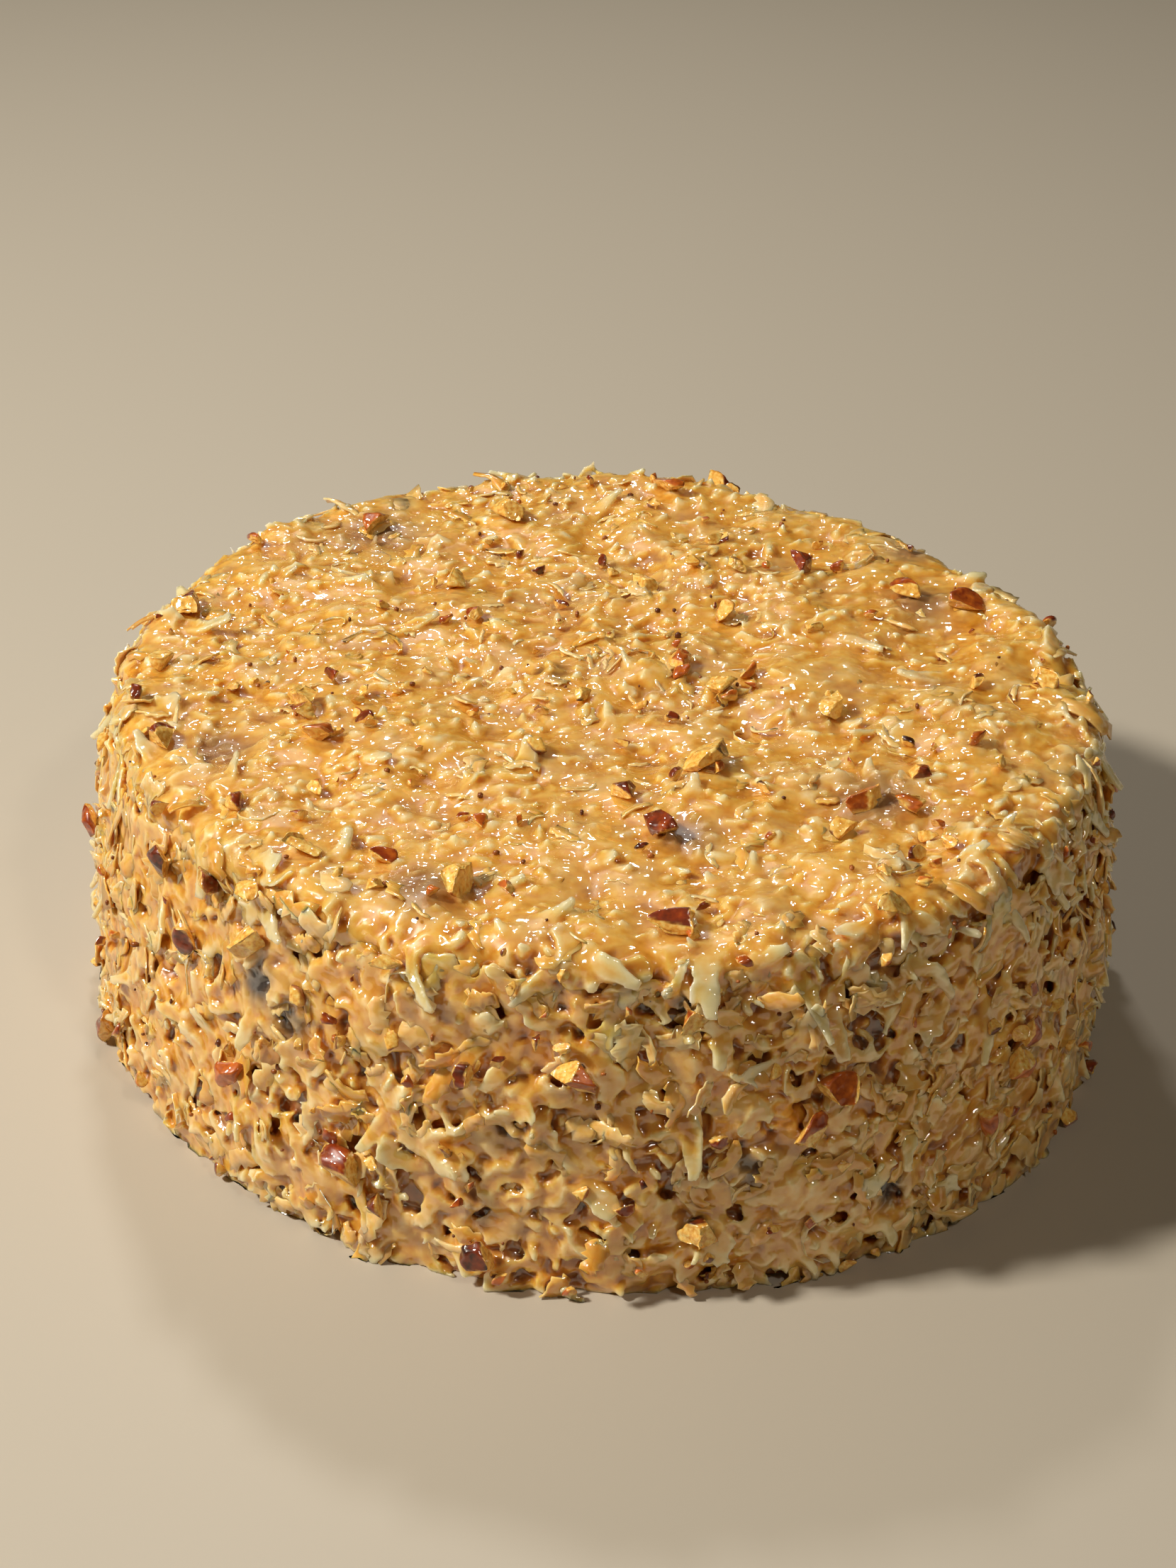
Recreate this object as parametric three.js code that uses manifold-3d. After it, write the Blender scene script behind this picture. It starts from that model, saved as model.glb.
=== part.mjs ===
// A whole German chocolate cake: two round 8 inch layers, frosted all over with coconut-pecan frosting.
// It is uncut, so it is one solid: the lumpy frosted body with the coconut flakes and chopped pecans
// that show fused into it. Millimetres, +Z up, origin in the middle of the flat underside.
import * as THREE from "three";
import { mergeVertices } from "three/addons/utils/BufferGeometryUtils.js";
import Module from "manifold-3d";

const wasm = await Module();
wasm.setup();

// ---- Driving dimensions ----
const HEIGHT = 76; // underside to the top of the frosting
const BASE_RADIUS = 115; // at the foot, on the flat underside
const SHOULDER_RADIUS = 107; // where the side runs into the rim
const RIM_ROUND = 7; // rounding between the top and the side
const BELLY = 1.4; // how far the side bulges half way up
const OVAL = 0.034; // share by which the cake is wider along OVAL_AXIS and narrower across it
const OVAL_AXIS = (135 * Math.PI) / 180;
const LEAN = new THREE.Vector2(1.4, -2); // how far the top sits off the middle of the base
const BODY_DETAIL = 13; // subdivision of the sphere that is mapped onto the body
const SKIRT = 10; // the body runs this far under the base before it is cut flat

// Relief of the spread frosting: lumps of these sizes and heights
const RELIEF = [
  { size: 26, height: 1.3 },
  { size: 11, height: 1.5 },
];

// Coconut flakes: the broadest ones, rooted in the frosting and following it until the tip lifts
const FLAKE = {
  count: 92,
  seed: 11,
  length: [9, 17],
  width: [3.2, 5.2],
  thick: 1.2,
  lift: [1.2, 3.2],
  sink: 0.9, // depth of the root under the surface
  outline: [0.75, 1.1, 0.85, 0.45], // ragged half width at each step from root to tip
};
// A fringe of longer, looser flakes that hangs over the rim all round
const FRINGE = { ...FLAKE, count: 32, seed: 23, length: [11, 18], lift: [2.6, 5.2], rim: true };

// Chopped pecans, about half sunk
const PECAN = {
  count: 27,
  seed: 37,
  length: [5.5, 9],
  slim: [0.62, 0.85], // width over length
  flat: [0.5, 0.7], // thickness over length
  show: 0.05, // how far the middle stands over the surface, as a share of the thickness
};
// The largest of them: mm along the skin from the middle of the top, degrees around, and length
const LARGE_PECANS = [
  { along: 42, around: 301, length: 11.5 },
  { along: 26, around: 349, length: 8 },
  { along: 18, around: 14, length: 7 },
  { along: 50, around: 344, length: 7 },
  { along: 83, around: 29, length: 9 },
  { along: 71, around: 47, length: 8 },
  { along: 94, around: 80, length: 8 },
  { along: 89, around: 127, length: 8 },
  { along: 66, around: 192, length: 9 },
  { along: 67, around: 205, length: 7 },
  { along: 98, around: 196, length: 8 },
  { along: 95, around: 231, length: 8 },
  { along: 118, around: 230, length: 8.5 },
  { along: 89, around: 252, length: 8.5 },
  { along: 62, around: 281, length: 9 },
  { along: 95, around: 278, length: 9 },
  { along: 71, around: 316, length: 8.5 },
  { along: 96, around: 358, length: 7.5 },
  { along: 134, around: 294, length: 8 },
  { along: 142, around: 291, length: 8.5 },
  { along: 147, around: 316, length: 7.5 },
  { along: 158, around: 244, length: 10 },
  { along: 172, around: 259, length: 8 },
];

// ---- Random draws and noise, the same on every run ----
function randomDraws(seed) {
  let state = seed >>> 0;
  return (range = [0, 1]) => {
    state = (Math.imul(state, 1664525) + 1013904223) >>> 0;
    return range[0] + ((range[1] - range[0]) * state) / 2 ** 32;
  };
}

function latticeValue(i, j, k) {
  let h = Math.imul(i, 374761393) + Math.imul(j, 668265263) + Math.imul(k, 1440662683);
  h = Math.imul(h ^ (h >>> 13), 1274126177);
  return ((h ^ (h >>> 16)) >>> 0) / 2 ** 32;
}

// Smooth noise from -1 to 1 that changes over one unit
function noise(x, y, z) {
  const cell = [x, y, z].map(Math.floor);
  const [u, v, w] = [x, y, z].map((c, axis) => {
    const f = c - cell[axis];
    return f * f * (3 - 2 * f);
  });
  let sum = 0;
  for (const [i, j, k] of [0, 1, 2, 3, 4, 5, 6, 7].map((n) => [n & 1, (n >> 1) & 1, n >> 2])) {
    const weight = (i ? u : 1 - u) * (j ? v : 1 - v) * (k ? w : 1 - w);
    sum += weight * latticeValue(cell[0] + i, cell[1] + j, cell[2] + k);
  }
  return 2 * sum - 1;
}

function reliefAt(p) {
  return RELIEF.reduce((sum, { size, height }) => sum + height * noise(p.x / size, p.y / size, p.z / size), 0);
}

// ---- The body's skin ----
const TOP_LENGTH = SHOULDER_RADIUS - RIM_ROUND;
const RIM_LENGTH = (RIM_ROUND * Math.PI) / 2;
const SIDE_LENGTH = HEIGHT - RIM_ROUND;
const SKIN_LENGTH = TOP_LENGTH + RIM_LENGTH + SIDE_LENGTH;

// The cake's half section: s runs out over the top, round the rim, down the side and on past the base
function section(s) {
  if (s < TOP_LENGTH) return { radius: s, z: HEIGHT, out: 0, up: 1 };
  if (s < TOP_LENGTH + RIM_LENGTH) {
    const turn = (s - TOP_LENGTH) / RIM_ROUND;
    const radius = TOP_LENGTH + RIM_ROUND * Math.sin(turn);
    return { radius, z: SIDE_LENGTH + RIM_ROUND * Math.cos(turn), out: Math.sin(turn), up: Math.cos(turn) };
  }
  const down = (s - TOP_LENGTH - RIM_LENGTH) / SIDE_LENGTH;
  const radius = SHOULDER_RADIUS + (BASE_RADIUS - SHOULDER_RADIUS) * down + BELLY * Math.sin(Math.PI * down);
  return { radius, z: SIDE_LENGTH * (1 - down), out: 1, up: (BASE_RADIUS - SHOULDER_RADIUS) / SIDE_LENGTH };
}

// A point of the skin without its relief, with its outward normal
function skin(s, angle) {
  const { radius, z, out, up } = section(s);
  const r = radius * (1 + OVAL * Math.cos(2 * (angle - OVAL_AXIS)));
  const lean = z / HEIGHT;
  const point = new THREE.Vector3(
    r * Math.cos(angle) + LEAN.x * lean,
    r * Math.sin(angle) + LEAN.y * lean,
    z,
  );
  const normal = new THREE.Vector3(out * Math.cos(angle), out * Math.sin(angle), up).normalize();
  return { point, normal };
}

function lumpySkin(s, angle) {
  const { point, normal } = skin(s, angle);
  return { point: point.addScaledVector(normal, reliefAt(point)), normal };
}

// Area of the skin from the middle of the top to each step along it, by the same share of the whole
const AREA_STEPS = 600;
function areaTable(length) {
  const table = [0];
  for (let i = 1; i <= AREA_STEPS; i++) {
    table.push(table[i - 1] + section((length * (i - 0.5)) / AREA_STEPS).radius);
  }
  return table.map((area) => area / table[AREA_STEPS]);
}

// The distance along the skin that has this share of the area above it
function alongSkin(table, length, share) {
  const above = Math.max(1, table.findIndex((area) => area >= share));
  const part = (share - table[above - 1]) / (table[above] - table[above - 1]);
  return (length * (above - 1 + part)) / AREA_STEPS;
}

// ---- Solids ----
function solidOf(geometry, joinWithin = 1e-5) {
  for (const name of ["normal", "uv"]) geometry.deleteAttribute(name);
  const merged = mergeVertices(geometry, joinWithin);
  return new wasm.Manifold(
    new wasm.Mesh({
      numProp: 3,
      vertProperties: merged.attributes.position.array,
      triVerts: new Uint32Array(merged.index.array),
    }),
  );
}

// The body: an even sphere mesh whose upper part becomes the skin, and whose foot closes under the base
function bodySolid() {
  const geometry = new THREE.IcosahedronGeometry(1, BODY_DETAIL);
  const place = geometry.attributes.position;
  const table = areaTable(SKIN_LENGTH + SKIRT);
  const footShare = 0.04; // share of the sphere's area that closes the foot
  for (let i = 0; i < place.count; i++) {
    const p = new THREE.Vector3().fromBufferAttribute(place, i);
    const share = (1 - p.z) / 2 / (1 - footShare);
    const angle = Math.atan2(p.y, p.x);
    const { point } = lumpySkin(alongSkin(table, SKIN_LENGTH + SKIRT, Math.min(share, 1)), angle);
    const inward = Math.max(0, share - 1) / (1 / (1 - footShare) - 1);
    place.setXYZ(i, point.x * (1 - inward), point.y * (1 - inward), point.z);
  }
  return solidOf(geometry);
}

// Where a topping sits: a distance along the skin and an angle round the cake. They are spread evenly
// by the golden angle with a little jitter, or along the rim.
const GOLDEN_ANGLE = Math.PI * (3 - Math.sqrt(5));
const SPREAD = areaTable(SKIN_LENGTH);
function seat(kind, index, draw) {
  const place = index + draw([-0.4, 0.4]);
  if (kind.rim) {
    return { s: TOP_LENGTH + RIM_LENGTH * draw([-0.2, 0.8]), angle: (2 * Math.PI * place) / kind.count };
  }
  const share = (place + 0.5) / kind.count;
  return { s: alongSkin(SPREAD, SKIN_LENGTH, share), angle: index * GOLDEN_ANGLE + draw([-0.12, 0.12]) };
}

// The seat reached by going a distance over the skin, outward and down at turn 0 and sideways at 90 degrees
const LEAST_RADIUS = 12; // keeps the angle steady near the middle of the top
function walk({ s, angle }, distance, turn) {
  const radius = Math.max(LEAST_RADIUS, section(s).radius);
  return { s: Math.abs(s + distance * Math.cos(turn)), angle: angle + (distance * Math.sin(turn)) / radius };
}

// A flake: a strip with a ragged outline, flat above and keeled below, that follows the skin with its
// tip lifted and twisted
function flakeSolid(kind, index, draw) {
  const root = seat(kind, index, draw);
  const length = draw(kind.length);
  const width = draw(kind.width);
  const lift = draw(kind.lift);
  const turn = draw([-1, 1]) * (root.s < TOP_LENGTH ? Math.PI : 1);
  const sway = draw([-0.5, 0.5]);
  const twist = draw([-0.6, 0.6]);
  const middle = (t) => {
    const { s, angle } = walk(root, length * t, turn + sway * t);
    const { point, normal } = lumpySkin(s, angle);
    return { point: point.addScaledVector(normal, (lift + kind.sink) * t ** 1.6 - kind.sink), normal };
  };
  const steps = kind.outline.length - 1;
  const corners = [];
  kind.outline.forEach((wide, step) => {
    const { point, normal } = middle(step / steps);
    const along = middle((step + 0.3) / steps).point.sub(point).normalize();
    const side = new THREE.Vector3().crossVectors(normal, along).normalize();
    side.applyAxisAngle(along, (twist * step) / steps);
    const thick = new THREE.Vector3().crossVectors(along, side).multiplyScalar(kind.thick / 2);
    const half = side.multiplyScalar((width / 2) * wide * draw([0.75, 1.25]));
    for (const [a, b] of [[-1, 1], [1, 1], [0, -1]]) {
      corners.push(point.clone().addScaledVector(half, a).addScaledVector(thick, b));
    }
  });
  return solidOf(new THREE.BufferGeometry().setFromPoints(corners).setIndex(stripFaces(steps)));
}

// Triangles of a closed strip with three corners at each step
function stripFaces(steps) {
  const faces = [0, 1, 2];
  for (let step = 0; step < steps; step++) {
    for (let corner = 0; corner < 3; corner++) {
      const a = 3 * step + corner;
      const b = 3 * step + ((corner + 1) % 3);
      faces.push(a, b + 3, b, a, a + 3, b + 3);
    }
  }
  const last = 3 * steps;
  return [...faces, last, last + 2, last + 1];
}

// A chopped pecan: an uneven chunk, longest along the skin
function pecanSolid(kind, index, draw) {
  const drawn = seat(kind, index, draw);
  const large = LARGE_PECANS[index - kind.count];
  const { s, angle } = large ? { s: large.along, angle: THREE.MathUtils.degToRad(large.around) } : drawn;
  const length = large ? large.length : draw(kind.length);
  const size = new THREE.Vector3(length, length * draw(kind.slim), length * draw(kind.flat));
  const { point, normal } = lumpySkin(s, angle);
  const ahead = new THREE.Vector3(-Math.sin(angle), Math.cos(angle), 0).applyAxisAngle(normal, draw([-1.2, 1.2]));
  const across = new THREE.Vector3().crossVectors(normal, ahead).normalize();
  ahead.crossVectors(across, normal);
  const chunk = new THREE.IcosahedronGeometry(0.5, 0);
  const place = chunk.attributes.position;
  const uneven = new Map();
  for (let i = 0; i < place.count; i++) {
    const p = new THREE.Vector3().fromBufferAttribute(place, i);
    const corner = p.toArray().map((c) => c.toFixed(3)).join();
    if (!uneven.has(corner)) uneven.set(corner, draw([0.85, 1.15]));
    p.multiplyScalar(uneven.get(corner));
    place.setXYZ(i, p.x, p.y, p.z);
  }
  chunk.scale(size.x, size.y, size.z);
  point.addScaledVector(normal, kind.show * size.z);
  chunk.applyMatrix4(new THREE.Matrix4().makeBasis(ahead, across, normal).setPosition(point));
  return solidOf(chunk);
}

function scattered(kind, makeSolid, extra = 0) {
  const draw = randomDraws(kind.seed);
  return Array.from({ length: kind.count + extra }, (_, index) => makeSolid(kind, index, draw));
}

// ---- The frosted cake as one solid ----
const SLIVER = 0.12; // edges shorter than this, left where pieces cross, are closed up
const REACH = 3 * BASE_RADIUS; // of the block that keeps only what is above the base

// Only the outer surface is kept: no loose scrap, and no hollow that fusing sealed
function outerBody(solid) {
  return solid.decompose().reduce((largest, piece) => (piece.volume() > largest.volume() ? piece : largest));
}

function geometryOf(solid) {
  const mesh = solid.getMesh();
  return new THREE.BufferGeometry()
    .setAttribute("position", new THREE.BufferAttribute(mesh.vertProperties, 3))
    .setIndex(new THREE.BufferAttribute(mesh.triVerts, 1));
}

function frostedCake() {
  const toppings = [
    ...scattered(FLAKE, flakeSolid),
    ...scattered(FRINGE, flakeSolid),
    ...scattered(PECAN, pecanSolid, LARGE_PECANS.length),
  ];
  const aboveBase = solidOf(new THREE.BoxGeometry(REACH, REACH, REACH).translate(0, 0, REACH / 2));
  const fused = toppings.reduce((sum, piece) => sum.add(piece), bodySolid()).intersect(aboveBase);
  const tidy = outerBody(fused.simplify(SLIVER));
  return outerBody(solidOf(geometryOf(tidy), 2e-3));
}

const frosting = new THREE.MeshStandardMaterial({
  color: 0xd0a468,
  roughness: 0.3,
  metalness: 0,
  flatShading: true,
});

const cake = new THREE.Group();
const frostedCakeMesh = new THREE.Mesh(geometryOf(frostedCake()), frosting);
frostedCakeMesh.name = "frosted_cake";
cake.add(frostedCakeMesh);

export default cake;
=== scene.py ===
"""A whole German chocolate cake under coconut-pecan frosting, standing on a plain floor.

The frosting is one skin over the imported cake: thousands of coconut flakes laid on the same lumpy drum as in
the part's source and melted together. Crisp flakes, pecans and crumbs lie on it, and a plain drum closes it
below. Sizes are in millimetres but for the floor and the lights, and meshes are made in metres.
"""

import math

import bmesh
import bpy
import numpy as np
from mathutils import Matrix, Vector
from mathutils.kdtree import KDTree


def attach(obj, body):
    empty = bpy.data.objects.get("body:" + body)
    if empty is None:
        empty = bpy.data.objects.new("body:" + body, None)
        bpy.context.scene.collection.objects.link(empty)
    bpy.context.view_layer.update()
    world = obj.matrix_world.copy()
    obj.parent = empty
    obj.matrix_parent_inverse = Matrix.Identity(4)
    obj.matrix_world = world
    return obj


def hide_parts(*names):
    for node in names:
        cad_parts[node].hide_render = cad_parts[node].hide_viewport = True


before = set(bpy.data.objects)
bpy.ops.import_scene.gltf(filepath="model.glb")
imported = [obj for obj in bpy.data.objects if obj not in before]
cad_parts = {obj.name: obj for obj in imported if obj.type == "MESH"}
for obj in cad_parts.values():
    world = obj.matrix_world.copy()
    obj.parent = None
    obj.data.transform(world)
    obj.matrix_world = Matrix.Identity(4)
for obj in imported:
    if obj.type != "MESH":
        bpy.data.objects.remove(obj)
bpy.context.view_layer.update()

MM = 0.001
NODE = "frosted_cake"

# ---- The drum under the frosting, as in the part's source ----
HEIGHT = 76.0
BASE_RADIUS = 115.0
SHOULDER_RADIUS = 107.0
RIM_ROUND = 7.0
BELLY = 1.4  # by which the side bulges at half its height
OVAL = 0.034  # share by which the drum is longer along OVAL_AXIS and shorter across it
OVAL_AXIS = math.radians(135)
LEAN = (1.4, -2.0)  # how far the top has shifted off the foot
RELIEF = ((26.0, 1.3), (11.0, 1.5))  # size and height of its lumps

# Lengths along the skin, from the middle of the top over the rim and down the side
TOP_LENGTH = SHOULDER_RADIUS - RIM_ROUND
RIM_LENGTH = RIM_ROUND * math.pi / 2
SIDE_LENGTH = HEIGHT - RIM_ROUND
BORDER = TOP_LENGTH + RIM_LENGTH
SKIN_LENGTH = BORDER + SIDE_LENGTH


class Draws:
    """The part source's random draws, so that its flakes and pecans are met where they are."""

    def __init__(self, seed):
        self.state = seed

    def __call__(self, low=0.0, high=1.0):
        self.state = (self.state * 1664525 + 1013904223) % 2**32
        return low + (high - low) * self.state / 2**32


def lattice(i, j, k):
    """The part source's random value from 0 to 1 at whole-number places."""
    h = (i * 374761393 + j * 668265263 + k * 1440662683).astype(np.uint64).astype(np.uint32)
    h = (h ^ (h >> np.uint32(13))).astype(np.uint64) * np.uint64(1274126177)
    h = h.astype(np.uint32)
    return (h ^ (h >> np.uint32(16))) / 2.0**32


def noise(p, size, shift=0.0):
    """Smooth noise from -1 to 1 over points p, changing over size."""
    q = p / size + shift
    cell = np.floor(q)
    f = q - cell
    f = f * f * (3 - 2 * f)
    c = cell.astype(np.int64)
    total = 0
    for n in range(8):
        i, j, k = n & 1, (n >> 1) & 1, n >> 2
        weight = (f[..., 0] if i else 1 - f[..., 0]) * (f[..., 1] if j else 1 - f[..., 1])
        weight = weight * (f[..., 2] if k else 1 - f[..., 2])
        total = total + weight * lattice(c[..., 0] + i, c[..., 1] + j, c[..., 2] + k)
    return 2 * total - 1


def section(s):
    """Radius, height and the two parts of the outward normal at a distance s from the middle of the top."""
    turn = np.clip((s - TOP_LENGTH) / RIM_ROUND, 0, math.pi / 2)
    down = np.maximum(0, (s - TOP_LENGTH - RIM_LENGTH) / SIDE_LENGTH)
    side = down > 0
    radius = np.minimum(s, TOP_LENGTH) + RIM_ROUND * np.sin(turn)
    radius = radius + (BASE_RADIUS - SHOULDER_RADIUS) * down + BELLY * np.sin(math.pi * down) * side
    z = SIDE_LENGTH * (1 - down) + RIM_ROUND * np.cos(turn)
    out = np.where(side, 1.0, np.sin(turn))
    up = np.where(side, (BASE_RADIUS - SHOULDER_RADIUS) / SIDE_LENGTH, np.cos(turn))
    return radius, z, out, up


def skin(s, angle, lumpy=True):
    """Points and outward normals of the drum."""
    radius, z, out, up = section(s)
    r = radius * (1 + OVAL * np.cos(2 * (angle - OVAL_AXIS)))
    lean = z / HEIGHT
    point = np.stack([r * np.cos(angle) + LEAN[0] * lean, r * np.sin(angle) + LEAN[1] * lean, z], -1)
    normal = np.stack([out * np.cos(angle), out * np.sin(angle), up], -1)
    normal /= np.linalg.norm(normal, axis=-1, keepdims=True)
    if lumpy:
        relief = sum(height * noise(point, size) for size, height in RELIEF)
        point = point + normal * relief[..., None]
    return point, normal


RINGS = 600  # into which the skin is cut to measure its area
AREA = np.cumsum(section(SKIN_LENGTH * (np.arange(RINGS) + 0.5) / RINGS)[0])
AREA = np.concatenate([[0], AREA]) / AREA[-1]


def along_skin(share):
    """The distance from the middle of the top within which that share of the skin lies."""
    return np.interp(share, AREA, np.linspace(0, SKIN_LENGTH, RINGS + 1))


def place_of(p):
    """Distance along the skin and angle of points near it, and how far they stand off the plain drum."""
    lean = p[:, 2] / HEIGHT
    x, y = p[:, 0] - LEAN[0] * lean, p[:, 1] - LEAN[1] * lean
    angle = np.arctan2(y, x)
    r = np.hypot(x, y) / (1 + OVAL * np.cos(2 * (angle - OVAL_AXIS)))
    inner, high = r - TOP_LENGTH, p[:, 2] - SIDE_LENGTH
    turn = np.arctan2(np.maximum(inner, 0), np.maximum(high, 1e-6))
    s = np.where(inner < 0, r, np.where(high > 0, TOP_LENGTH + RIM_ROUND * turn, BORDER - high))
    radius, z, _, _ = section(s)
    off = np.where(inner < 0, p[:, 2] - HEIGHT, np.hypot(r - radius, p[:, 2] - z) * np.sign(r - radius))
    return s, angle, off


# ---- Strips that follow the skin, for every kind of flake ----
ACROSS, LAYERS = 3, 2  # corners of a strip at each step: left, middle and right, upper and lower
NEAREST = 12.0  # strips that start nearer the middle of the top turn round it as if from here
MIN_BEND = 0.05  # radians


def ribbons(root_s, root_angle, turn, sway, ahead, high, tilt, left, right, cup, twist, thick, slip=None):
    """Closed strips that follow the skin. Each row is one strip and each column a step from root to tip:
    ahead is the way gone over the skin, high the height over it and tilt the slope of the strip there.
    slip shifts the left, middle and right corners along the strip, so that edges and ends are torn.
    Returns corner points [strip, step, across, upper or lower, xyz]."""
    steps = ahead.shape[1]
    t = np.linspace(0, 1, steps)
    heading = turn[:, None] + sway[:, None] * t
    radius = np.maximum(NEAREST, section(root_s)[0])[:, None]
    s = np.abs(root_s[:, None] + ahead * np.cos(heading))
    angle = root_angle[:, None] + ahead * np.sin(heading) / radius
    point, normal = skin(s, angle)
    round_way = np.stack([-np.sin(angle), np.cos(angle), 0 * angle], -1)
    down_way = np.cross(round_way, normal)
    level = down_way * np.cos(heading)[..., None] + round_way * np.sin(heading)[..., None]
    along = level * np.cos(tilt)[..., None] + normal * np.sin(tilt)[..., None]
    side = np.cross(normal, level)
    up = np.cross(along, side)
    side, up = (
        side * np.cos(twist)[..., None] + up * np.sin(twist)[..., None],
        up * np.cos(twist)[..., None] - side * np.sin(twist)[..., None],
    )
    spine = point + normal * high[..., None]
    rows = []
    for number, (across, half) in enumerate(((-1, left), (0, left), (1, right))):
        bow = (cup[:, None] * across * across)[..., None]
        row = spine + side * (across * half)[..., None] + up * bow
        rows.append(row if slip is None else row + along * slip[..., number, None])
    sheet = np.stack(rows, 2)
    lift = (up * thick[:, None, None] / 2)[:, :, None, :]
    return np.stack([sheet + lift, sheet - lift], 3)


def strip_faces(steps):
    """Quads of one closed strip whose corners are numbered [step, across, upper or lower]."""
    def at(step, across, lower):
        return (step * ACROSS + across) * LAYERS + lower

    quads = []
    for i in range(steps - 1):
        for j in range(ACROSS - 1):
            quads.append([at(i, j, 0), at(i, j + 1, 0), at(i + 1, j + 1, 0), at(i + 1, j, 0)][::-1])
            quads.append([at(i, j, 1), at(i, j + 1, 1), at(i + 1, j + 1, 1), at(i + 1, j, 1)])
        quads.append([at(i, 0, 0), at(i, 0, 1), at(i + 1, 0, 1), at(i + 1, 0, 0)])
        quads.append([at(i, 2, 0), at(i, 2, 1), at(i + 1, 2, 1), at(i + 1, 2, 0)][::-1])
    for j in range(ACROSS - 1):
        quads.append([at(0, j, 0), at(0, j, 1), at(0, j + 1, 1), at(0, j + 1, 0)][::-1])
        end = steps - 1
        quads.append([at(end, j, 0), at(end, j, 1), at(end, j + 1, 1), at(end, j + 1, 0)])
    return np.array(quads)[:, ::-1]


def strips_mesh(corners):
    """(vertices, quads) of many strips."""
    count, steps = corners.shape[:2]
    quads = strip_faces(steps)[None] + (np.arange(count) * steps * ACROSS * LAYERS)[:, None, None]
    return corners.reshape(-1, 3), quads.reshape(-1, 4)


def curled(t, length, tilt0, bend, sink):
    """Way ahead, height and slope along a strip that starts at a slope and bends by an angle."""
    bend = np.where(np.abs(bend) < MIN_BEND, MIN_BEND, bend)
    tilt = tilt0[:, None] + bend[:, None] * t
    scale = (length / bend)[:, None]
    ahead = scale * (np.sin(tilt) - np.sin(tilt0)[:, None])
    high = scale * (np.cos(tilt0)[:, None] - np.cos(tilt)) - sink[:, None]
    return ahead, high, tilt


def ragged(rng, count, steps, width, tear):
    """Half widths of torn flakes on both sides: a narrow root, teeth and a blunt end. tear is how deep
    the teeth go, as a share of the width."""
    t = np.linspace(0, 1, steps)
    body = np.minimum(1, 0.5 + 1.5 * t) * (1 - 0.4 * np.clip((t - 0.8) / 0.2, 0, 1))
    halves = []
    for _ in range(2):
        teeth = 1 + tear * rng.uniform(-1, 1, (count, steps))
        halves.append(width[:, None] / 2 * body * teeth)
    return halves


def slipped(rng, count, steps, length, share=0.3):
    """Shifts of the corners along the strip, as a share of a step and largest at the torn end."""
    reach = (length / (steps - 1) * share)[:, None, None]
    slip = rng.uniform(-1, 1, (count, steps, 3)) * reach
    slip[:, -1] *= 2
    return slip


# ---- The coated flakes that the frosting is made of ----
SMOOTH_PATCH = 30.0  # mm over which smooth and rough patches change
SMOOTH_BAND = (116, 12, 203, 14)  # along the skin and degrees around, each with how far it fades out
SMOOTH_SIDE = (205, 32)  # degrees around of the smoothest part of the side, and how far it fades out


def smeared(s, angle):
    """1 where the frosting was dragged smooth, 0 where the flakes stand rough."""
    point, _ = skin(s, angle, lumpy=False)
    wide = noise(point, SMOOTH_PATCH, shift=40.0)
    around = np.degrees(angle) % 360
    on_side = np.clip((s - TOP_LENGTH) / RIM_LENGTH, 0, 1)
    patches = np.clip((wide - 0.1 + 0.2 * on_side) * 1.6, 0, 0.7)
    middle, reach, middle_around, reach_around = SMOOTH_BAND
    band = np.exp(-(((s - middle) / reach) ** 2) - ((around - middle_around) / reach_around) ** 2)
    middle_around, reach_around = SMOOTH_SIDE
    side = 0.75 * on_side * np.exp(-(((around - middle_around) / reach_around) ** 2))
    return np.clip(patches + band + side, 0, 0.95)


def scattered_seats(rng, count):
    return along_skin(rng.uniform(0, 1, count)), rng.uniform(0, 2 * math.pi, count)


# Ranges are (low, high), and two ranges are those on the top and on the side. tilt is the slope at the root,
# bend and sway the angles that a flake turns by upwards and sideways, twist that about its length, cup how
# far its edges turn up, sink how deep its root is and tear how deep the teeth of its edges go.
FLAKES = {
    "count": 6600, "steps": 8, "length": (4.5, 12), "width": (2.0, 5.4), "thick": (0.6, 0.95), "tear": 0.5,
    "tilt": ((-0.08, 0.2), (-0.1, 0.35)), "bend": ((-0.45, 0.15), (-0.8, 0.2)),
    "sink": ((0.0, 1.3), (0.1, 1.9)), "sway": (-1.0, 1.0), "twist": (-0.6, 0.6), "cup": (0.3, 0.7),
}
BITS = {
    "count": 5200, "steps": 4, "length": (1.8, 4.5), "width": (0.9, 2.4), "thick": (0.7, 1.2), "tear": 0.3,
    "tilt": (-0.3, 0.6), "bend": (-0.8, 0.8), "sink": ((-0.7, 0.5), (-0.5, 1.6)), "twist": (-0.8, 0.8),
}


def drawer(rng, kind, on_top):
    """A function that draws one of the kind's values for each flake, from the range for its place."""
    def drawn(key):
        spans = kind[key]
        if isinstance(spans[0], tuple):
            top, side = [rng.uniform(*span, len(on_top)) for span in spans]
            return np.where(on_top, top, side)
        return rng.uniform(*spans, len(on_top))

    return drawn


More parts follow.
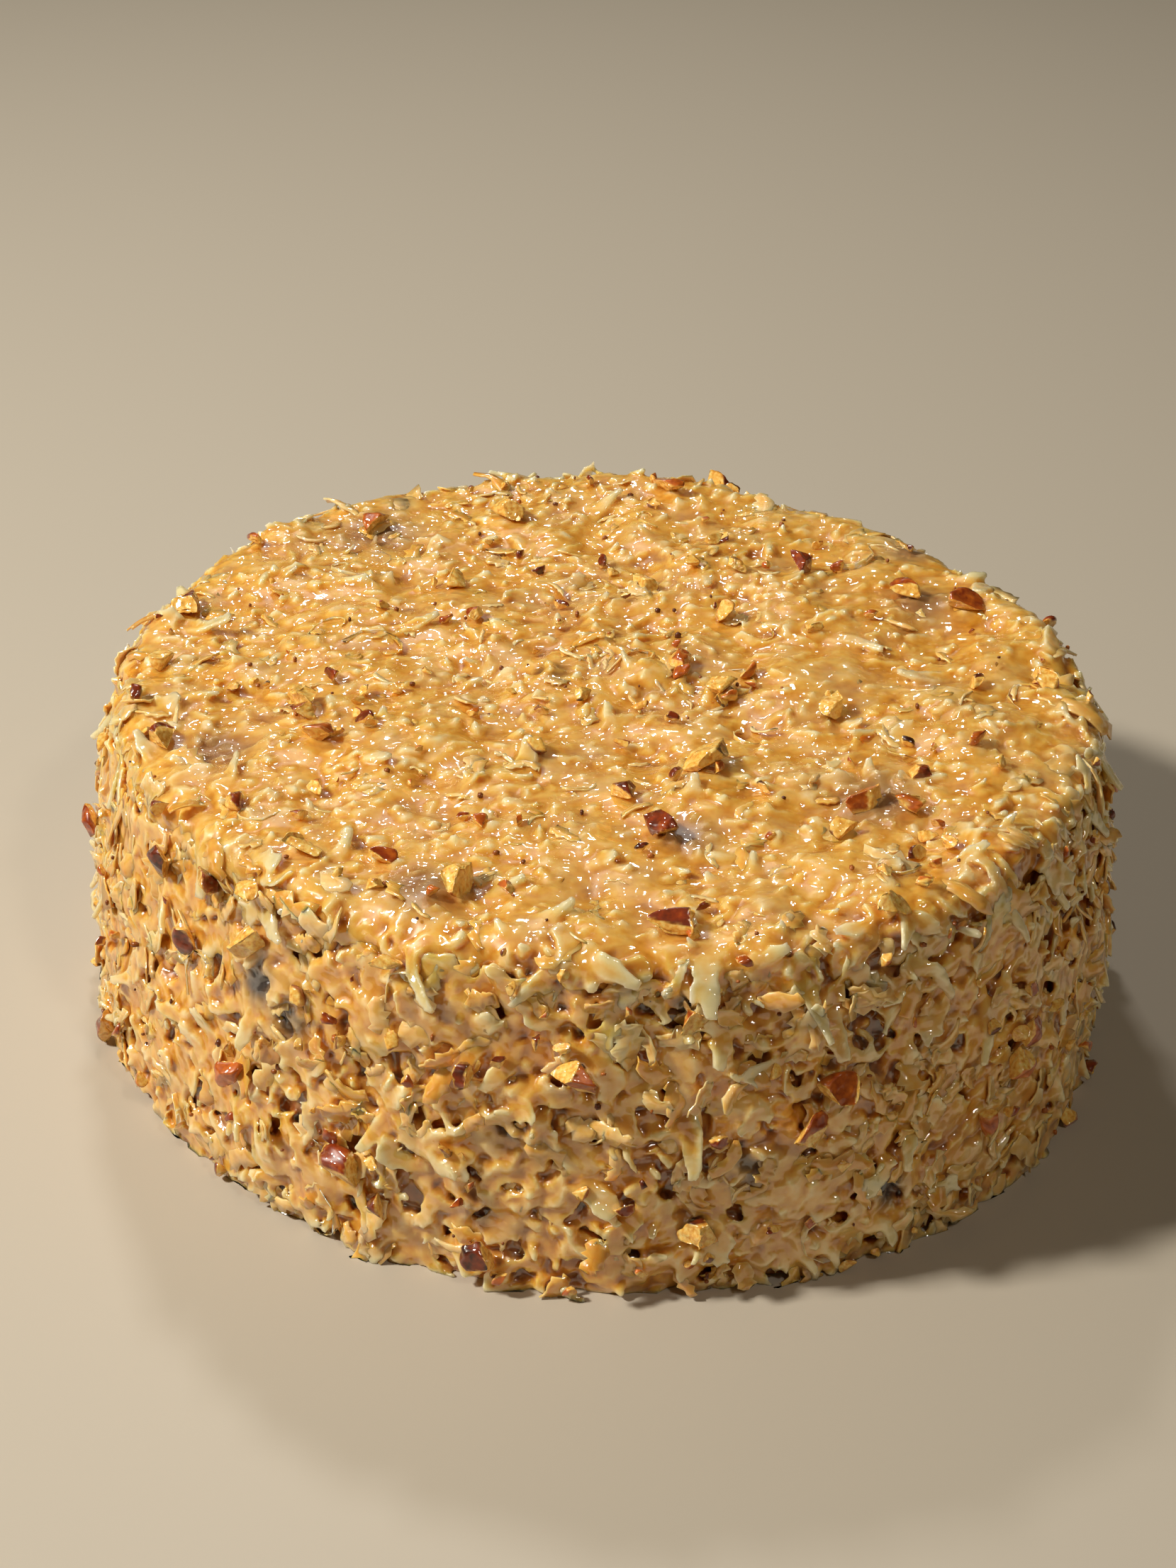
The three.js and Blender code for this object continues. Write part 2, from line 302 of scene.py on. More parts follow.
def coated_flakes(rng, kind):
    """The coated flakes that make up the frosting's surface: smaller on the top, and flatter where it is
    smeared."""
    count, steps = kind["count"], kind["steps"]
    s, angle = scattered_seats(rng, count)
    on_top = s < TOP_LENGTH
    calm = smeared(s, angle)
    drawn = drawer(rng, kind, on_top)
    length = drawn("length") * np.where(on_top, 0.75, 1.0)
    width = drawn("width") * np.where(on_top, 0.85, 1.0)
    tilt0 = drawn("tilt") * (1 - 0.8 * calm)
    bend = drawn("bend") * (1 - 0.6 * calm)
    sink = drawn("sink") * np.where(on_top, 1.0, 1 - 0.5 * calm) + 0.4 * calm
    turn = rng.uniform(-math.pi, math.pi, count)
    sway = drawn("sway")
    t = np.linspace(0, 1, steps)
    ahead, high, tilt = curled(t, length, tilt0, bend, sink)
    left, right = ragged(rng, count, steps, width, kind["tear"])
    cup = rng.uniform(-1, 1, count) * np.where(on_top, *kind["cup"])
    twist = drawn("twist")[:, None] * t * (1 - 0.7 * calm)[:, None]
    thick = drawn("thick")
    slip = slipped(rng, count, steps, length)
    return ribbons(s, angle, turn, sway, ahead, high, tilt, left, right, cup, twist, thick, slip)


def coated_bits(rng, kind):
    """Short broken bits of coconut between them."""
    count, steps = kind["count"], kind["steps"]
    s, angle = scattered_seats(rng, count)
    on_top = s < TOP_LENGTH
    calm = smeared(s, angle)
    drawn = drawer(rng, kind, on_top)
    length, width = drawn("length"), drawn("width")
    tilt0 = drawn("tilt") * (1 - 0.7 * calm) * np.where(on_top, 0.5, 1.0)
    bend = drawn("bend")
    sink = drawn("sink") + 0.5 * calm
    t = np.linspace(0, 1, steps)
    ahead, high, tilt = curled(t, length, tilt0, bend, sink)
    left, right = ragged(rng, count, steps, width, kind["tear"])
    turn, zero = rng.uniform(-math.pi, math.pi, count), np.zeros(count)
    twist = drawn("twist")[:, None] * t
    return ribbons(s, angle, turn, zero, ahead, high, tilt, left, right, zero, twist, drawn("thick"))


# ---- The part source's own flakes and pecans, from the same named values and draws ----
FLAKE = {
    "count": 92, "seed": 11, "length": (9, 17), "width": (3.2, 5.2), "lift": (1.2, 3.2), "rim": False,
}
FRINGE = {
    "count": 32, "seed": 23, "length": (11, 18), "width": (3.2, 5.2), "lift": (2.6, 5.2), "rim": True,
}
SINK = 0.9  # depth of their roots
LIFT_POWER = 1.6  # how late they rise
OUTLINE = (0.75, 1.1, 0.85, 0.45)  # share of their width from root to tip
FLAKE_THICK = 1.1
FLAKE_STEPS = 9
PECAN = {
    "count": 27, "seed": 37, "length": (5.5, 9), "slim": (0.62, 0.85), "flat": (0.5, 0.7), "rim": False,
}
SHAPE_DRAWS = 12  # that the source makes for the shape of each pecan
# Along the skin, degrees around, length and share of pale flesh that faces out
LARGE_PECANS = (
    (42, 301, 11.5, 0.4), (26, 349, 8, 0.9), (18, 14, 7, 0.1), (50, 344, 7, 0.8), (83, 29, 9, 0.1),
    (71, 47, 8, 0.3), (94, 80, 8, 0.1), (89, 127, 8, 0.1), (66, 192, 9, 0.5), (67, 205, 7, 0.0),
    (98, 196, 8, 0.2), (95, 231, 8, 0.7), (118, 230, 8.5, 0.9), (89, 252, 8.5, 0.6), (62, 281, 9, 0.0),
    (95, 278, 9, 0.0), (71, 316, 8.5, 0.1), (96, 358, 7.5, 0.9), (134, 294, 8, 0.0), (142, 291, 8.5, 0.2),
    (147, 316, 7.5, 0.1), (158, 244, 10, 0.4), (172, 259, 8, 0.1),
)
SMALL_PECANS = (  # the same for pieces too small for the part's source
    (97, 177, 6, 0.6), (101, 187, 5, 0.1), (59, 182, 5, 0.2), (94, 216, 6, 0.5), (111, 222, 6.5, 0.8),
    (108, 229, 6, 0.9), (128, 219, 6.5, 0.0), (54, 128, 6, 0.8), (80, 319, 6.5, 0.0), (76, 308, 6, 1.0),
    (32, 2, 6, 0.0), (43, 77, 6.5, 0.5), (41, 45, 6.5, 0.3), (36, 248, 5, 1.0), (125, 237, 5, 1.0),
    (110, 248, 6, 0.9), (130, 257, 6, 0.1), (166, 248, 6, 0.2), (115, 279, 6, 0.5), (157, 312, 6, 0.1),
)
GOLDEN_ANGLE = math.pi * (3 - math.sqrt(5))


def seat(kind, index, draw):
    """Where the source puts a flake or pecan: distance along the skin and angle."""
    place = index + draw(-0.4, 0.4)
    if kind["rim"]:
        return TOP_LENGTH + RIM_LENGTH * draw(-0.2, 0.8), 2 * math.pi * place / kind["count"]
    jitter = draw(-0.12, 0.12)
    return float(along_skin((place + 0.5) / kind["count"])), index * GOLDEN_ANGLE + jitter


def source_flakes(kind):
    """The flakes of the part's source, with finer edges."""
    draw = Draws(kind["seed"])
    rows = []
    for index in range(kind["count"]):
        s, angle = seat(kind, index, draw)
        length, width, lift = draw(*kind["length"]), draw(*kind["width"]), draw(*kind["lift"])
        turn = draw(-1, 1) * (math.pi if s < TOP_LENGTH else 1)
        sway, twist = draw(-0.5, 0.5), draw(-0.6, 0.6)
        wide = [w * draw(0.75, 1.25) for w in OUTLINE]
        rows.append((s, angle, length, width, lift, turn, sway, twist, *wide))
    s, angle, length, width, lift, turn, sway, twist, *wide = np.array(rows).T
    t = np.linspace(0, 1, FLAKE_STEPS)
    rise = (lift + SINK)[:, None]
    ahead = length[:, None] * t
    high = rise * t**LIFT_POWER - SINK
    tilt = np.arctan(rise * LIFT_POWER * np.maximum(t, 0.02) ** (LIFT_POWER - 1) / length[:, None])
    rng = np.random.default_rng(kind["seed"])
    shape = np.array([np.interp(t, np.linspace(0, 1, len(OUTLINE)), row) for row in np.array(wide).T])
    half = shape * width[:, None] / 2
    left = half * rng.uniform(0.7, 1.15, half.shape)
    right = half * rng.uniform(0.7, 1.15, half.shape)
    cup = rng.uniform(-0.8, 0.8, len(s))
    thick = np.full(len(s), FLAKE_THICK)
    return ribbons(s, angle, turn, sway, ahead, high, tilt, left, right, cup, twist[:, None] * t, thick)


def pecan_seats():
    """The source's pecans as rows of s, angle, length, slim, flat, turn and share of flesh."""
    draw = Draws(PECAN["seed"])
    looks = np.random.default_rng(PECAN["seed"])
    seats = []
    for index in range(PECAN["count"] + len(LARGE_PECANS)):
        s, angle = seat(PECAN, index, draw)
        flesh = looks.uniform() ** 2
        if index >= PECAN["count"]:
            s, around, length, flesh = LARGE_PECANS[index - PECAN["count"]]
            angle = math.radians(around)
        else:
            length = draw(*PECAN["length"])
        slim, flat = draw(*PECAN["slim"]), draw(*PECAN["flat"])
        turn = draw(-1.2, 1.2)
        for _ in range(SHAPE_DRAWS):
            draw()
        seats.append((s, angle, length, slim, flat, turn, flesh))
    return np.array(seats)


# ---- Mesh helpers ----
def mesh_object(name, verts, faces):
    """A smooth-shaded object of vertices in metres and faces that all have as many corners."""
    mesh = bpy.data.meshes.new(name)
    verts = np.ascontiguousarray(verts, dtype=np.float32)
    faces = np.ascontiguousarray(faces, dtype=np.int32)
    mesh.vertices.add(len(verts))
    mesh.vertices.foreach_set("co", verts.ravel())
    sides = faces.shape[1]
    mesh.loops.add(faces.size)
    mesh.loops.foreach_set("vertex_index", faces.ravel())
    mesh.polygons.add(len(faces))
    mesh.polygons.foreach_set("loop_start", np.arange(0, faces.size, sides, dtype=np.int32))
    mesh.polygons.foreach_set("use_smooth", np.full(len(faces), True))
    mesh.update(calc_edges=True)
    mesh.validate()
    obj = bpy.data.objects.new(name, mesh)
    bpy.context.scene.collection.objects.link(obj)
    return obj


def set_values(mesh, name, values):
    """One value for each vertex, which a material reads by name."""
    layer = mesh.attributes.new(name, "FLOAT", "POINT")
    layer.data.foreach_set("value", np.ascontiguousarray(values, dtype=np.float32))


def modified(verts, tris, kind, **settings):
    """A mesh after one modifier, as (vertices, triangles)."""
    raw = mesh_object("raw", verts * MM, tris)
    modifier = raw.modifiers.new("modifier", kind)
    for key, value in settings.items():
        setattr(modifier, key, value)
    shown = raw.evaluated_get(bpy.context.evaluated_depsgraph_get())
    mesh = shown.to_mesh()
    verts = np.empty(len(mesh.vertices) * 3, np.float32)
    mesh.vertices.foreach_get("co", verts)
    mesh.calc_loop_triangles()
    tris = np.empty(len(mesh.loop_triangles) * 3, np.int32)
    mesh.loop_triangles.foreach_get("vertices", tris)
    shown.to_mesh_clear()
    mesh = raw.data
    bpy.data.objects.remove(raw)
    bpy.data.meshes.remove(mesh)
    return verts.reshape(-1, 3).astype(np.float64) / MM, tris.reshape(-1, 3)


def gathered(parts):
    """One (vertices, triangles) of several (vertices, faces)."""
    verts, tris, base = [], [], 0
    for v, f in parts:
        verts.append(v)
        if f.shape[1] == 4:
            f = np.concatenate([f[:, [0, 1, 2]], f[:, [0, 2, 3]]])
        tris.append(f + base)
        base += len(v)
    return np.concatenate(verts), np.concatenate(tris)


def smooth_step(x):
    x = np.clip(x, 0, 1)
    return x * x * (3 - 2 * x)


def edges_of(tris):
    """Both ways along every edge, as pairs of vertex numbers."""
    pairs = np.sort(np.concatenate([tris[:, [0, 1]], tris[:, [1, 2]], tris[:, [2, 0]]]), 1).astype(np.int64)
    span = pairs.max() + 1
    key = np.unique(pairs[:, 0] * span + pairs[:, 1])
    pairs = np.stack([key // span, key % span], 1)
    return np.concatenate([pairs, pairs[:, ::-1]])


def mean_of_neighbours(edges, values):
    count = len(values)
    degree = np.maximum(np.bincount(edges[:, 0], minlength=count), 1)
    sums = [np.bincount(edges[:, 0], column[edges[:, 1]], count) for column in values.reshape(count, -1).T]
    return (np.stack(sums, 1) / degree[:, None]).reshape(values.shape)


def normals_of(verts, tris):
    a, b, c = verts[tris[:, 0]], verts[tris[:, 1]], verts[tris[:, 2]]
    face = np.cross(b - a, c - a)
    normal = np.zeros_like(verts)
    for axis in range(3):
        for corner in range(3):
            normal[:, axis] += np.bincount(tris[:, corner], face[:, axis], len(verts))
    return normal / np.maximum(np.linalg.norm(normal, axis=1, keepdims=True), 1e-12)


FLOW = 0.8  # share of the way to its neighbours by which a vertex in a crease rises in one round
WEAR = 0.15  # and by which one on a crest sinks


def settled(verts, tris, rounds):
    """Lets the wet frosting run into the creases between flakes, and rounds the crests a little."""
    edges = edges_of(tris)
    for _ in range(rounds):
        pull = mean_of_neighbours(edges, verts) - verts
        outward = np.einsum("ij,ij->i", pull, normals_of(verts, tris))
        verts = verts + pull * np.where(outward > 0, FLOW, WEAR)[:, None]
        verts[:, 2] = np.maximum(verts[:, 2], 0)
    return verts


SHARP = 0.22  # weighted bulge that counts as 1


def crests(verts, tris):
    """How sharply the surface bulges, from about -1 in creases to 1 on edges."""
    edges = edges_of(tris)
    pull = verts - mean_of_neighbours(edges, verts)
    bulge = np.einsum("ij,ij->i", pull, normals_of(verts, tris))
    near = mean_of_neighbours(edges, bulge)
    wide = mean_of_neighbours(edges, mean_of_neighbours(edges, near))
    return np.clip((0.5 * bulge + near + 1.5 * wide) / SHARP, -1.5, 1.5)


# ---- The frosting: flakes melted into the drum, in three closed pieces ----
VOXEL = 0.52
FACES = {"frosting_top": 199000, "frosting_front": 199000, "frosting_back": 180000}
ROUNDS = {"frosting_top": 5, "frosting_front": 4, "frosting_back": 4}  # in which each settles
LAP = 8.0  # by which the pieces run under each other
DIP = 1.3  # depth to which they sink there
SIDE_DEPTH = 2.1  # by which the creases between the flakes go in on the side
TOP_FILL = 0.25  # by which they are filled on the top
DEEPENING = 10.0  # from the rim's edge on, over which they get deeper
FINE_RELIEF = (5.0, 0.5)  # size and height of the small lumps between the flakes
PATCH_DEEP = 6.0
PATCH_STEP = 1.2
MIDDLE = 0.01  # where a patch that covers the middle of the top begins
FOOT = 0.5  # the lowest part of a patch, which stands on the floor


def patch_mesh(s_range, angle_range, inset):
    """A closed thick patch of the lumpy drum over ranges of s and angle. inset sinks its borders."""
    rows = max(2, int((s_range[1] - s_range[0]) / PATCH_STEP))
    columns = int((angle_range[1] - angle_range[0]) * BASE_RADIUS / PATCH_STEP)
    lines = np.linspace(*s_range, rows), np.linspace(*angle_range, columns)
    grid_s, grid_a = np.meshgrid(*lines, indexing="ij")
    point, normal = skin(grid_s, grid_a)
    sunk = (SIDE_DEPTH + TOP_FILL) * smooth_step((grid_s - TOP_LENGTH) / DEEPENING) - TOP_FILL
    fine = FINE_RELIEF[1] * noise(point, FINE_RELIEF[0], shift=9.0) - sunk - inset(grid_s, grid_a)
    outer = point + normal * fine[..., None]
    inner = point - normal * PATCH_DEEP
    for sheet in (outer, inner):
        sheet[..., 2] = np.where(grid_s > SKIN_LENGTH - FOOT, 0, np.maximum(sheet[..., 2], 0))
    count = rows * columns
    number = np.arange(count).reshape(rows, columns)

    def quads(a, b, c, d):
        return np.stack([a.ravel(), b.ravel(), c.ravel(), d.ravel()], 1)

    corner = number[:-1, :-1], number[1:, :-1], number[1:, 1:], number[:-1, 1:]
    faces = [quads(*corner), quads(*corner[::-1]) + count]
    for line, flip in ((number[0], 0), (number[-1], 1), (number[:, 0], 1), (number[:, -1], 0)):
        edge = [line[:-1], line[1:], line[1:] + count, line[:-1] + count]
        faces.append(quads(*(edge[::-1] if flip else edge)))
    return np.concatenate([outer.reshape(-1, 3), inner.reshape(-1, 3)]), np.concatenate(faces)


def melted(name, parts):
    """(vertices, triangles) of the piece of that name, melted together from several (vertices, faces)."""
    verts, tris = modified(*gathered(parts), "REMESH", mode="VOXEL", voxel_size=VOXEL * MM)
    verts = settled(verts, tris, ROUNDS[name])
    faces = FACES[name]
    return modified(verts, tris, "DECIMATE", ratio=min(1.0, faces / len(tris)))


rng = np.random.default_rng(5)
strips = [coated_flakes(rng, FLAKES), coated_bits(rng, BITS), source_flakes(FLAKE), source_flakes(FRINGE)]
ROOTS = [place_of(corners[:, 0, 1, 0]) for corners in strips]
pecans = pecan_seats()

# Pecans under the surface and thin spots: along the skin, degrees around, radius
STAINS = ((73, 318, 9), (84, 26, 8), (87, 128, 9), (88, 200, 7), (93, 248, 8), (64, 285, 6), (99, 40, 6))
THIN = (
    (127, 231, 5.5), (132, 236, 4.5), (114, 279, 3.0), (11, 169, 3.5), (150, 285, 4), (142, 262, 3.5),
    (163, 300, 4), (120, 60, 5), (150, 120, 5), (135, 170, 4), (160, 20, 4),
)


def spots(s, angle, places):
    """How near points are to the given spots, from 0 to 1 in their middle."""
    near = np.zeros(len(s))
    radius = np.maximum(section(s)[0], 1)
    for along, around, size in places:
        turn = (angle - math.radians(around) + math.pi) % (2 * math.pi) - math.pi
        gap = np.hypot(s - along, turn * radius)
        near = np.maximum(near, np.clip(1.4 - gap / size, 0, 1))
    return near


def tints(verts):
    """A shade for each coated flake, read from the strip that lies nearest."""
    middles, shade = [], []
    for corners in strips:
        count, steps = corners.shape[:2]
        middles.append(corners[:, :, 1, :, :].mean(2).reshape(-1, 3))
        shade.append(np.repeat(np.random.default_rng(count).uniform(0, 1, count), steps))
    middles, shade = np.concatenate(middles), np.concatenate(shade)
    tree = KDTree(len(middles))
    for i, p in enumerate(middles):
        tree.insert(p, i)
    tree.balance()
    return np.array([shade[tree.find(p)[1]] for p in verts])


def inset_top(s, angle):
    return DIP * smooth_step((s - BORDER) / LAP)


def inset_side(s, angle):
    return DIP * smooth_step((BORDER - s) / LAP)


def inset_back(s, angle):
    past = np.where(np.sin(angle) < 0, -np.sin(angle) * BASE_RADIUS, 0)
    return inset_side(s, angle) + DIP * smooth_step(past / LAP)


def chosen(test):
    """The strips whose roots pass a test of s and of how far back they are."""
    picked = []
    for corners, (s, angle, _) in zip(strips, ROOTS):
        keep = test(s, np.sin(angle))
        if keep.any():
            picked.append(strips_mesh(corners[keep]))
    return picked


OVER = LAP / BASE_RADIUS
SKINS = {  # each piece's part of the drum, and which strips are its own
    "frosting_top": (
        patch_mesh((MIDDLE, BORDER + LAP), (0, 2 * math.pi), inset_top),
        lambda s, back: s < BORDER,
    ),
    "frosting_front": (
        patch_mesh((BORDER - LAP, SKIN_LENGTH), (math.pi, 2 * math.pi), inset_side),
        lambda s, back: (s >= BORDER) & (back < 0),
    ),
    "frosting_back": (
        patch_mesh((BORDER - LAP, SKIN_LENGTH), (-OVER, math.pi + OVER), inset_back),
        lambda s, back: (s >= BORDER) & (back >= 0),
    ),
}


# ---- Materials ----
def material(name):
    mat = bpy.data.materials.new(name)
    mat.use_nodes = True
    return mat, mat.node_tree, mat.node_tree.nodes["Principled BSDF"]


def add(tree, kind, **values):
    """A new node with its properties and inputs set by name."""
    node = tree.nodes.new(kind)
    for key, value in values.items():
        if hasattr(node, key):
            setattr(node, key, value)
        else:
            node.inputs[key].default_value = value
    return node


def link(tree, out, into):
    tree.links.new(out, into)


def ramp(tree, fac, stops):
    """A colour that runs through (place, colour) stops as fac goes from 0 to 1."""
    node = tree.nodes.new("ShaderNodeValToRGB")
    while len(node.color_ramp.elements) < len(stops):
        node.color_ramp.elements.new(0.5)
    for element, (place, colour) in zip(node.color_ramp.elements, stops):
        element.position = place
        element.color = (*colour, 1)
    link(tree, fac, node.inputs["Fac"])
    return node.outputs["Color"]


def attribute(tree, name):
    return add(tree, "ShaderNodeAttribute", attribute_name=name).outputs["Fac"]


def maths(tree, operation, a, b=None, c=None, clamp=False):
    node = add(tree, "ShaderNodeMath", operation=operation, use_clamp=clamp)
    for socket, value in zip(node.inputs, (a, b, c)):
        if value is None:
            continue
        if isinstance(value, (int, float)):
            socket.default_value = value
        else:
            link(tree, value, socket)
    return node.outputs[0]


MIX_FAC, MIX_A, MIX_B, MIX_RESULT = 0, 6, 7, 2  # a mix node's sockets for colours


def mix(tree, fac, a, b):
    node = tree.nodes.new("ShaderNodeMix")
    node.data_type = "RGBA"
    for number, value in ((MIX_FAC, fac), (MIX_A, a), (MIX_B, b)):
        socket = node.inputs[number]
        if isinstance(value, (int, float)):
            socket.default_value = value
        elif isinstance(value, tuple):
            socket.default_value = (*value, 1)
        else:
            link(tree, value, socket)
    return node.outputs[MIX_RESULT]


def noise_of(tree, size, detail=3.0):
    """Noise over the object that changes over size millimetres."""
    where = add(tree, "ShaderNodeTexCoord").outputs["Object"]
    scale = add(tree, "ShaderNodeMapping")
    scale.inputs["Scale"].default_value = [1 / (size * MM)] * 3
    link(tree, where, scale.inputs["Vector"])
    node = add(tree, "ShaderNodeTexNoise", Scale=1.0, Detail=detail)
    link(tree, scale.outputs[0], node.inputs["Vector"])
    return node.outputs["Fac"]


def bump(tree, height, distance):
    node = add(tree, "ShaderNodeBump", Strength=1.0, Distance=distance * MM)
    link(tree, height, node.inputs["Height"])
    return node.outputs["Normal"]


CARAMEL = (  # the frosting's colours from its creases, where the dark end is painted shade, to its palest crests
    (0.0, (0.06, 0.016, 0.001)),
    (0.25, (0.38, 0.1, 0.004)),
    (0.5, (0.73, 0.32, 0.028)),
    (0.72, (0.86, 0.495, 0.095)),
    (1.0, (0.98, 0.715, 0.36)),
)
GLAZE = (0.60, 0.45, 0.27)  # greyer patches
VEIL = (0.22, 0.11, 0.075)  # pecans and cake seen through the glaze
CAKE = ((0.035, 0.018, 0.012), (0.09, 0.075, 0.07))  # dark cake where the frosting is thin
MIDDLE_SHADE = 0.585  # of the frosting's colours, between 0 and 1
SYRUP_GLOSS = 2.05  # index of refraction of the coat
SYRUP_WAVES = (2.5, 1.15)  # size and height of the soft bumps in it


def wet(tree, bsdf, gloss=SYRUP_GLOSS):
    """A coat of syrup whose soft bumps catch the light."""
    size, height = SYRUP_WAVES
    link(tree, bump(tree, noise_of(tree, size, 0), height), bsdf.inputs["Coat Normal"])
    bsdf.inputs["IOR"].default_value = 1.4
    bsdf.inputs["Roughness"].default_value = 0.35
    bsdf.inputs["Coat Weight"].default_value = 1.0
    bsdf.inputs["Coat IOR"].default_value = gloss
    bsdf.inputs["Coat Roughness"].default_value = 0.1


def frosting_material(name, depth, paling=0.2):
    """Frosting or the flakes in it. depth is how far light wanders in it, in millimetres, and
    paling how much paler crests are."""
    mat, tree, bsdf = material(name)
    # Paler on crests and high spots, partly the flakes' own paler edges and partly painted light; darker in
    # creases and low spots, which is painted shade; and mottled
    shade = MIDDLE_SHADE
    for value, weight in (("crest", paling), ("rise", 0.11), ("tint", 0.16)):
        shade = maths(tree, "MULTIPLY_ADD", attribute(tree, value), weight, shade)
    shade = maths(tree, "ADD", shade, -0.2)
    shade = maths(tree, "MULTIPLY_ADD", noise_of(tree, 2.2, 1.5), 0.4, shade, clamp=True)
    colour = ramp(tree, shade, CARAMEL)
    # Greyer patches, a veil over what lies under the surface, and the cake where it is thin
    patches = maths(tree, "MULTIPLY_ADD", noise_of(tree, 9, 2), 3.0, -1.4, clamp=True)
    colour = mix(tree, patches, colour, mix(tree, 0.4, colour, GLAZE))
    veil = maths(tree, "MULTIPLY_ADD", noise_of(tree, 13, 3), 6.0, -3.75, clamp=True)
    stain = maths(tree, "MULTIPLY", attribute(tree, "stain"), 0.7)
    veil = maths(tree, "MAXIMUM", maths(tree, "MULTIPLY", veil, 0.5), stain)
    colour = mix(tree, veil, colour, VEIL)
    colour = mix(tree, attribute(tree, "thin"), colour, mix(tree, noise_of(tree, 1.5), *CAKE))
    link(tree, colour, bsdf.inputs["Base Color"])
    wet(tree, bsdf)
    bsdf.inputs["Subsurface Weight"].default_value = 1.0
    bsdf.inputs["Subsurface Radius"].default_value = (1.0, 0.98, 0.92)
    bsdf.inputs["Subsurface Scale"].default_value = depth * MM
    return mat


def piece_of(name, mesh, mat, values=()):
    """A piece of the cake from (vertices, faces), which stands for the solid."""
    verts, faces = mesh
    obj = mesh_object(name, verts * MM, faces)
    for key, value in values:
        set_values(obj.data, key, value)
    obj.data.materials.append(mat)
    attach(obj, "root")
    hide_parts(NODE)


frosting = frosting_material("coconut_frosting", 5.0)
side_frosting = frosting_material("coconut_frosting_side", 2.8)
coconut = frosting_material("coconut_flakes", 0.6, paling=0.27)
for name, (patch, test) in SKINS.items():
    verts, tris = melted(name, [patch, *chosen(test)])
    s, angle, off = place_of(verts)
    rise = off - sum(height * noise(verts, size) for size, height in RELIEF)
    # crest and rise darken the colour in creases and low spots as painted shade, and make crests and high
    # spots paler
    values = [
        ("crest", crests(verts, tris)),
        ("rise", np.clip(rise, -2.5, 2.5)),
        ("tint", tints(verts) - 0.5),
        ("stain", spots(s, angle, STAINS)),
        ("thin", spots(s, angle, THIN) * smooth_step((1.2 - rise) / 1.6)),
    ]
    piece_of(name, (verts, tris), frosting if name == "frosting_top" else side_frosting, values)


# ---- Crisp flakes on the frosting ----
# Flakes that keep their torn edges. Ranges are as those of the coated flakes. s is that along the skin, turn
# the spread of the ways they point, roll a twist from the root on, and pale how pale they are.
FLAT = {
    "count": 230, "s": (0, TOP_LENGTH), "length": (3.5, 8), "width": (1.6, 4.2), "tilt": (-0.03, 0.25),
    "bend": (-0.5, 0.05), "sink": (-0.4, 0.5), "turn": 3.0, "sway": (-0.9, 0.9), "roll": (-0.2, 0.2),
    "twist": (-0.4, 0.4), "pale": (0.0, 1.0), "cup": 0.35,
}
FLAT_LOOP = {
    **FLAT, "count": 14, "length": (6, 10), "width": (0.8, 1.6), "tilt": (0.0, 0.1), "bend": (-0.3, 0.1),
    "sink": (-0.8, -0.2), "sway": (2.6, 4.8), "roll": (1.2, 1.7), "pale": (0.2, 1.0),
}
RIM = {
    **FLAT, "count": 170, "s": (TOP_LENGTH - 8, BORDER + 6), "length": (5, 12), "width": (2.4, 5.8),
    "tilt": (0.0, 0.4), "bend": (-1.1, 0.0), "sink": (-0.4, 0.6), "turn": 1.1, "twist": (-0.7, 0.7),
    "pale": (0.0, 1.2), "cup": 0.7,
}
SIDE = {
    **FLAT, "count": 440, "s": (BORDER, SKIN_LENGTH - 3), "length": (4.5, 10), "width": (2.0, 4.8),
    "tilt": (0.0, 0.7), "bend": (-1.0, 0.2), "sink": (-0.2, 1.0), "turn": 1.4, "twist": (-0.7, 0.7),
    "cup": 0.7,
}
SIDE_LOOP = {
    **SIDE, "count": 10, "length": (7, 12), "width": (1.2, 2.4), "tilt": (0.0, 0.3), "bend": (-0.3, 0.2),
    "sink": (-1.0, 0.2), "sway": (3.2, 5.2), "roll": (0.9, 1.6),
}
SLIVER = {
    **FLAT, "count": 110, "s": (5, SKIN_LENGTH - 8), "width": (0.6, 1.2), "tilt": (0.0, 0.3),
    "bend": (-0.8, 0.2), "sink": (-0.7, 0.0), "pale": (0.6, 1.5),
}
FRONT, BACK, ALL_ROUND = -1, 1, 0
KINDS = {
    "coconut_top": (ALL_ROUND, [FLAT, FLAT_LOOP]),
    "coconut_rim": (ALL_ROUND, [RIM]),
    "coconut_front": (FRONT, [SIDE, SIDE_LOOP]),
    "coconut_back": (BACK, [SIDE, SIDE_LOOP]),
    "coconut_slivers": (ALL_ROUND, [SLIVER]),
}
CRISP_STEPS = 9
CRISP_TEAR = 0.5
CRISP_SLIP = 0.35
SHEET = 0.42  # thickness
EDGE_LIGHT = 0.35  # how much paler the thin edges are
MIDDLE_LIGHT = -0.6  # the same for the middle, as a share of that
CLEAR = 0.05  # height above the floor that everything keeps


